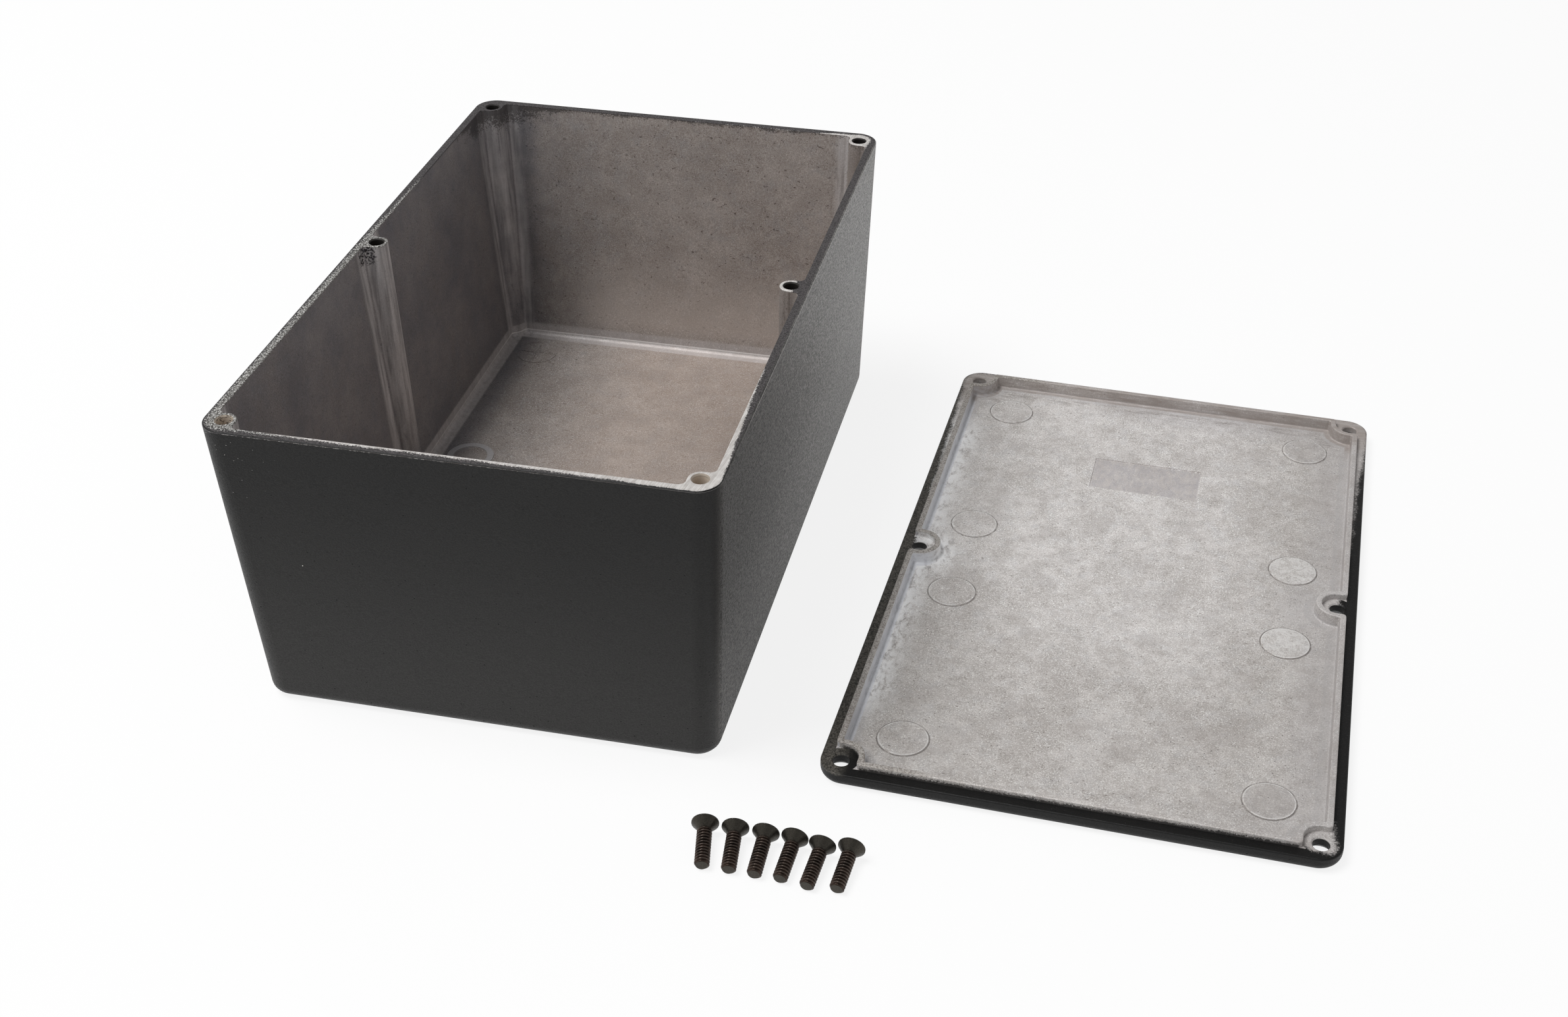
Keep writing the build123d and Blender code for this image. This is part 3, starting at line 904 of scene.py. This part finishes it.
def make_black_oxide():
    """Black oxide on a rolled screw: plain on the head and tip, browner on the thread, with crests paler
    through wear and a painted highlight.
    """
    material, sheet, shader, _ = new_material("black_oxide", metallic=0.85)
    point = sheet.result("ShaderNodeAttribute", key="Vector", attribute_name="on_screw")
    x, y, z = sheet.split(point)
    along = 0.0 - z
    radius = sheet.length(x, y)
    on_thread = sheet.between(along, 2.0, 2.4, screw_length - 0.08, screw_length - 0.02)
    stains = sheet.noise(point, 1.8, detail=4.0, roughness=0.6)
    turning = sheet.noise(sheet.scaled(point, 1.0, 1.0, 0.12), 0.22, detail=3.0, roughness=0.6)
    head = sheet.mix(turning, colour(40, 38, 34), colour(88, 84, 77))
    thread = sheet.mix(sheet.rise(stains, 0.35, 0.65), colour(42, 35, 32), colour(76, 63, 56))
    # The crests paler all round: partly wear, partly a painted highlight
    crest = sheet.rise(radius, 1.6, 1.74)
    thread = sheet.mix(crest * 0.45, thread, colour(114, 105, 98))
    oxide = sheet.mix(on_thread, head, thread)
    wear = sheet.noise(point, 0.5, detail=3.0)
    head_edge = sheet.rise(radius, head_diameter / 2 - 0.07, head_diameter / 2 - 0.01)
    tip_edge = sheet.rise(along, screw_length - 0.5, screw_length - 0.2)
    worn = sheet.rise(wear * (head_edge + tip_edge * 0.6), 0.5, 0.7)
    oxide = sheet.mix(worn * 0.6, oxide, colour(150, 145, 138))
    feed(sheet, shader, Base_Color=oxide, Roughness=sheet.spread(wear, 0.3, 0.7, 0.32, 0.5))
    add_bump(sheet, shader, turning + wear, 0.012 * mm)
    return material


def make_tapped_metal():
    """The bright tapped wall of a screw hole, stained brown in places."""
    material, sheet, shader, point = new_material("tapped_metal", metallic=0.7, roughness=0.45)
    stains = sheet.noise(point, 1.2, detail=3.0)
    cut = sheet.noise(sheet.scaled(point, 1.0, 1.0, 6.0), 0.6, detail=2.0)
    tone = sheet.rise(stains * 0.7 + cut * 0.3, 0.35, 0.65)
    feed(sheet, shader, Base_Color=sheet.mix(tone, colour(130, 112, 98), colour(190, 180, 168)))
    add_bump(sheet, shader, cut, 0.02 * mm)
    return material


case_casting = make_case_casting()
lid_casting = make_lid_casting()
black_oxide = make_black_oxide()
tapped_metal = make_tapped_metal()


def dress(name, material):
    """A CAD node whose shape is right keeps its mesh, and gets its finish in its material slots."""
    obj = nodes[name]
    for place in obj.material_slots:
        place.link = "OBJECT"
        place.material = material


dress("case_body", case_casting)
dress("lid", lid_casting)


def make_thread_form():
    """How deep a thread is cut at a place along and around it: 0 on the crest, 1 in the root."""
    sheet, given, way_out = new_group(
        "thread_form",
        [("Along", number_socket, 0.0), ("Around", number_socket, 0.0), ("Pitch", number_socket, 1.0)],
        [("Depth", number_socket)],
        kind="GeometryNodeTree",
    )
    turns = sheet.math("FRACT", given["Along"] / given["Pitch"] + given["Around"])
    from_root = sheet.math("ABSOLUTE", turns * 2.0 - 1.0)
    return close_group(sheet, way_out, Depth=sheet.fall(from_root, 0.1, 0.9))


thread_form = make_thread_form()


def wrapped_grid(sheet, last_row):
    """A grid to be wrapped into a round body: its mesh, each point's row, and its place round."""
    counts = {"Vertices X": last_row + 1.0, "Vertices Y": places_round + 1}
    grid = sheet.result("GeometryNodeMeshGrid", {"Size X": 1.0, "Size Y": 1.0, **counts}, "Mesh")
    x, y, _ = sheet.split(sheet.result("GeometryNodeInputPosition"))
    return grid, sheet.math("ROUND", (x + 0.5) * last_row), y + 0.5


def wrap(sheet, grid, radius, around, height):
    """Wrap the grid's points to their radius and height, and close the seam and the poles."""
    turned = around * (2 * pi)
    x = radius * sheet.math("COSINE", turned)
    y = radius * sheet.math("SINE", turned)
    place = sheet.join(x, y, height)
    body = sheet.result("GeometryNodeSetPosition", {"Geometry": grid, "Position": place})
    return sheet.result("GeometryNodeMergeByDistance", {"Geometry": body, "Distance": seam_weld})


def finish_mesh(sheet, body, material):
    """Smooth faces with sharp edges, real geometry and one material."""
    body = sheet.result("GeometryNodeSetShadeSmooth", {"Geometry": body, "Shade Smooth": True})
    angle = sheet.result("GeometryNodeInputMeshEdgeAngle", key="Unsigned Angle")
    sharp = sheet.over(angle, sharp_angle)
    sockets = {"Geometry": body, "Selection": sharp, "Shade Smooth": False}
    body = sheet.result("GeometryNodeSetShadeSmooth", sockets, domain="EDGE")
    body = sheet.result("GeometryNodeRealizeInstances", {"Geometry": body})
    return sheet.result("GeometryNodeSetMaterial", {"Geometry": body, "Material": material})


def make_screw_tree():
    """A countersunk screw with a rolled thread and a cross recess.

    The middle of its flat face comes to lie at Place, and Axis is the way from its tip to its head."""
    sheet, given, way_out = new_group(
        "lid_screw",
        [
            ("Length", number_socket, screw_length),
            ("Head diameter", number_socket, head_diameter),
            ("Head land", number_socket, head_land),
            ("Head angle", number_socket, head_angle),
            ("Neck diameter", number_socket, neck_diameter),
            ("Thread diameter", number_socket, thread_diameter),
            ("Thread depth", number_socket, thread_depth),
            ("Pitch", number_socket, thread_pitch),
            ("Tip chamfer", number_socket, screw_tip_chamfer),
            ("Recess span", number_socket, recess_span),
            ("Recess width", number_socket, recess_width),
            ("Recess depth", number_socket, recess_depth),
            ("Place", vector_socket, None),
            ("Axis", vector_socket, None),
            ("Material", material_socket, None),
        ],
        [("Geometry", geometry_socket)],
        kind="GeometryNodeTree",
    )
    # The rows: the head's centre, its rim, the land's foot, the neck, the thread, the tip's centre
    head_radius = given["Head diameter"] / 2.0
    neck_radius = given["Neck diameter"] / 2.0
    thread_radius = given["Thread diameter"] / 2.0
    cone_height = (head_radius - neck_radius) / sheet.math("TANGENT", given["Head angle"] / 2.0)
    neck_start = given["Head land"] + cone_height
    step = given["Pitch"] / rows_per_turn
    last_row = sheet.math("CEIL", (given["Length"] - neck_start) / step) + 4.0
    grid, row, around = wrapped_grid(sheet, last_row)
    on_land = sheet.spread(row, 1.0, 2.0, 0.0, 1.0)
    on_cone = sheet.spread(row, 2.0, 3.0, 0.0, 1.0)
    below_neck = sheet.largest(row - 3.0, 0.0) * step
    along = on_land * given["Head land"] + on_cone * cone_height + below_neck
    along = sheet.smallest(along, given["Length"])
    cut, = sheet.group(thread_form, Along=along, Around=around, Pitch=given["Pitch"])
    past_neck = along - neck_start
    cut = cut * sheet.rise(past_neck, 0.0, thread_run_in)
    shank = thread_radius - cut * given["Thread depth"]
    shank = sheet.smallest(shank, neck_radius + past_neck * head_to_thread_slope)
    shank = sheet.smallest(shank, thread_radius - given["Tip chamfer"] + (given["Length"] - along))
    shank = shank * sheet.fall(row, last_row - 1.0, last_row)
    head = head_radius * sheet.smallest(row, 1.0)
    past_head = sheet.over(row, 2.5)
    body = wrap(sheet, grid, head + past_head * (shank - head), around, 0.0 - along)

    # The cross recess: two tapered wings cut from the head
    block = sheet.result("GeometryNodeMeshCube", {"Size": (1.0, 1.0, 1.0)}, "Mesh")
    x, y, z = sheet.split(sheet.result("GeometryNodeInputPosition"))
    sides = sheet.join(
        x * given["Recess span"] * (1.0 + z * recess_end_taper),
        y * given["Recess width"] * (1.0 + z * recess_side_taper),
        z * given["Recess depth"] * 2.0,
    )
    wing = sheet.result("GeometryNodeSetPosition", {"Geometry": block, "Position": sides})
    quarter_turn = {"Geometry": wing, "Rotation": (0.0, 0.0, pi / 2)}
    crossing = sheet.result("GeometryNodeTransform", quarter_turn)
    cut_away = {"operation": "DIFFERENCE", "solver": "MANIFOLD"}
    cutting = sheet.add("GeometryNodeMeshBoolean", {"Mesh 1": body}, **cut_away)
    for cutter in (wing, crossing):
        sheet.fill(cutting.inputs["Mesh 2"], cutter)
    body = sheet.out(cutting, "Mesh")
    body = sheet.result("GeometryNodeMergeByDistance", {"Geometry": body, "Distance": sliver_weld})

    own_place = sheet.result("GeometryNodeInputPosition")
    stored = {"Geometry": body, "Name": "on_screw", "Value": own_place}
    body = sheet.out(
        sheet.add("GeometryNodeStoreNamedAttribute", stored, data_type="FLOAT_VECTOR", domain="POINT")
    )
    body = finish_mesh(sheet, body, given["Material"])
    turn = sheet.result("FunctionNodeAlignRotationToVector", {"Vector": given["Axis"]}, axis="Z")
    laid = {"Geometry": body, "Translation": given["Place"], "Rotation": turn, "Scale": (mm, mm, mm)}
    return close_group(sheet, way_out, Geometry=sheet.result("GeometryNodeTransform", laid))


def make_tapped_hole_tree():
    """Thin threaded sleeves for the six tapped holes, each sunk a hair into the hole's wall."""
    sheet, given, way_out = new_group(
        "tapped_holes",
        [
            ("Hole radius", number_socket, hole_radius),
            ("Ridge", number_socket, tapped_ridge),
            ("Pitch", number_socket, thread_pitch),
            ("Depth", number_socket, tapped_depth_shown),
            ("Spacing X", number_socket, 2 * hole_x),
            ("Spacing Y", number_socket, 2 * hole_y),
            ("Top", number_socket, case_height - tapped_start),
            ("Material", material_socket, None),
        ],
        [("Geometry", geometry_socket)],
        kind="GeometryNodeTree",
    )
    # The rows: the outer wall's top, the threaded wall from top to bottom, the outer wall's foot and top
    step = given["Pitch"] / rows_per_turn
    threaded_rows = sheet.math("CEIL", given["Depth"] / step)
    last_row = threaded_rows + 3.0
    grid, row, around = wrapped_grid(sheet, last_row)
    along = sheet.smallest(sheet.largest(row - 1.0, 0.0) * step, given["Depth"])
    along = along * sheet.math("LESS_THAN", row, last_row - 0.5)
    cut, = sheet.group(thread_form, Along=along, Around=around, Pitch=given["Pitch"])
    ridge = given["Ridge"] * (1.0 - cut) * sheet.rise(along, 0.0, tapped_run_in)
    threaded = sheet.over(row, 0.5) * sheet.math("LESS_THAN", row, threaded_rows + 1.5)
    radius = given["Hole radius"] + sleeve_sunk - threaded * (ridge + (sleeve_sunk + sleeve_proud))
    sleeve = wrap(sheet, grid, radius, around, 0.0 - along)
    sleeve = sheet.result("GeometryNodeFlipFaces", {"Mesh": sleeve})
    spacing = {"Size X": given["Spacing X"], "Size Y": given["Spacing Y"]}
    spacing.update({"Vertices X": 2, "Vertices Y": 3})
    hole_places = sheet.result("GeometryNodeMeshGrid", spacing, "Mesh")
    at_holes = {"Points": hole_places, "Instance": sleeve}
    sleeves = sheet.result("GeometryNodeInstanceOnPoints", at_holes)
    sleeves = sheet.result("GeometryNodeRealizeInstances", {"Geometry": sleeves})
    sleeves = finish_mesh(sheet, sleeves, given["Material"])
    place = sheet.join(0.0, 0.0, given["Top"] * mm)
    laid = {"Geometry": sleeves, "Translation": place, "Scale": (mm, mm, mm)}
    return close_group(sheet, way_out, Geometry=sheet.result("GeometryNodeTransform", laid))


def shape_piece(name, tree, sizes):
    """Run a tree with these sizes, and keep what it makes as a plain mesh."""
    piece = bpy.data.objects.new(name, bpy.data.meshes.new(name))
    bpy.context.scene.collection.objects.link(piece)
    modifier = piece.modifiers.new("shape", "NODES")
    modifier.node_group = tree
    for item in tree.interface.items_tree:
        if item.in_out == "INPUT" and item.name in sizes:
            modifier[item.identifier] = sizes[item.name]
    shaped = piece.evaluated_get(bpy.context.evaluated_depsgraph_get())
    mesh = bpy.data.meshes.new_from_object(shaped)
    piece.modifiers.clear()
    piece.data = mesh
    return piece


def screw_place_and_axis(solid):
    """The middle of a solid screw's flat face, and the way from its tip to its head.

    The axis is the long axis of its points, and the head is the end that reaches further from it."""
    points = np.unique(np.round([tuple(vertex.co) for vertex in solid.data.vertices], 7), axis=0)
    middle = points.mean(axis=0)
    axis = np.linalg.svd(points - middle)[2][0]
    along = (points - middle) @ axis
    from_axis = np.linalg.norm(points - middle - np.outer(along, axis), axis=1)
    if from_axis[along > 0].max() < from_axis[along < 0].max():
        axis, along = -axis, -along
    return tuple(float(v) for v in middle + axis * along.max()), tuple(float(v) for v in axis)


screw_tree = make_screw_tree()
for number in range(1, 7):
    solid_name = f"lid_screw_{number}"
    place, axis = screw_place_and_axis(nodes[solid_name])
    screw_sizes = {"Place": place, "Axis": axis, "Material": black_oxide}
    screw = shape_piece(f"threaded_screw_{number}", screw_tree, screw_sizes)
    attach(screw, "root")
    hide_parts(solid_name)

tapped_hole_tree = make_tapped_hole_tree()
tapped_holes = shape_piece("tapped_hole_threads", tapped_hole_tree, {"Material": tapped_metal})
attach(tapped_holes, "root")

# The photograph's camera: its frame, focal length and optical centre in pixels, its angles, and
# how far it stands from the point that it looks at, in millimetres
photo_width = 2380
photo_height = 1544
focal_length_px = 2998
optical_centre_px = (1228, 838)
camera_azimuth = radians(12.05)
camera_elevation = radians(35.86)
camera_roll = radians(0.23)
camera_distance = 533.6
camera_target = Vector((60.3, -3.2, 0.0))
sensor_width = 36.0
nearest_seen = 0.01
farthest_seen = 30.0

# The floor and the room: the floor's width and its drop below the case, the shade of its paper, the share
# that glows where it is seen directly, and the light overhead as a share of that near the horizon
floor_width = 24.0
floor_drop = 0.02 * mm
paper_shade = 0.95
floor_glow = 0.85
overhead_light = 0.25


def make_camera():
    """A camera where the photograph's camera stood."""
    back = Vector((
        sin(camera_azimuth) * cos(camera_elevation),
        -cos(camera_azimuth) * cos(camera_elevation),
        sin(camera_elevation),
    ))
    level = Vector((0, 0, 1)).cross(back).normalized()
    up = back.cross(level)
    right = cos(camera_roll) * level + sin(camera_roll) * up
    up = back.cross(right)
    data = bpy.data.cameras.new("photo_camera")
    camera = bpy.data.objects.new("photo_camera", data)
    turn = Matrix((right, up, back)).transposed().to_4x4()
    camera.matrix_world = Matrix.Translation((camera_target + back * camera_distance) * mm) @ turn
    data.sensor_width = sensor_width
    data.lens = focal_length_px * sensor_width / photo_width
    data.shift_x = (photo_width / 2 - optical_centre_px[0]) / photo_width
    data.shift_y = (optical_centre_px[1] - photo_height / 2) / photo_width
    data.clip_start = nearest_seen
    data.clip_end = farthest_seen
    bpy.context.scene.collection.objects.link(camera)
    bpy.context.scene.camera = camera


def seen_directly(sheet):
    """1 for the camera's rays and for those that metal, gloss or glass send on."""
    path = sheet.add("ShaderNodeLightPath")
    seen = sheet.out(path, "Is Camera Ray")
    for ray in ("Is Glossy Ray", "Is Transmission Ray"):
        seen = sheet.largest(seen, sheet.out(path, ray))
    return seen


def make_floor():
    """A wide white floor that keeps the object's shadow."""
    mesh = bpy.data.meshes.new("floor")
    half = floor_width / 2
    level = case_low.z - floor_drop
    corners = [(x * half, y * half, level) for x, y in ((-1, -1), (1, -1), (1, 1), (-1, 1))]
    mesh.from_pydata(corners, [], [(0, 1, 2, 3)])
    floor = bpy.data.objects.new("floor", mesh)
    bpy.context.scene.collection.objects.link(floor)
    material = bpy.data.materials.new("floor_paper")
    material.use_nodes = True
    sheet = Sheet(material.node_tree)
    sheet.tree.nodes.clear()
    shade = (paper_shade, paper_shade, paper_shade, 1.0)
    paper = sheet.result("ShaderNodeBsdfDiffuse", {"Color": shade})
    glow = sheet.result("ShaderNodeEmission", {"Strength": 1.0})
    share = seen_directly(sheet) * floor_glow
    both = sheet.result("ShaderNodeMixShader", {0: share, 1: paper, 2: glow})
    sheet.add("ShaderNodeOutputMaterial", {"Surface": both})
    mesh.materials.append(material)


def make_world():
    """A plain studio room: white near the horizon, greyer overhead."""
    world = bpy.data.worlds.new("room")
    bpy.context.scene.world = world
    world.use_nodes = True
    sheet = Sheet(world.node_tree)
    sheet.tree.nodes.clear()
    direction = sheet.result("ShaderNodeTexCoord", key="Generated")
    _, _, upward = sheet.split(direction)
    level = sheet.spread(sheet.rise(upward, 0.1, 0.6), 0.0, 1.0, 1.0, overhead_light)
    glow = sheet.result("ShaderNodeBackground", {"Strength": level})
    sheet.add("ShaderNodeOutputWorld", {"Surface": glow})


def make_lamp(name, place, target, size, power):
    """A soft square lamp at a place, turned to a target."""
    data = bpy.data.lights.new(name, "AREA")
    data.shape = "SQUARE"
    data.size = size
    data.energy = power
    lamp = bpy.data.objects.new(name, data)
    lamp.location = place
    lamp.rotation_euler = (Vector(place) - Vector(target)).to_track_quat("Z", "Y").to_euler()
    bpy.context.scene.collection.objects.link(lamp)


make_camera()
make_floor()
make_world()
make_lamp("overhead_softbox", place=(-0.7, -0.3, 1.8), target=(0.05, 0.0, 0.0), size=1.0, power=32.0)
bpy.context.scene.view_settings.view_transform = "Standard"
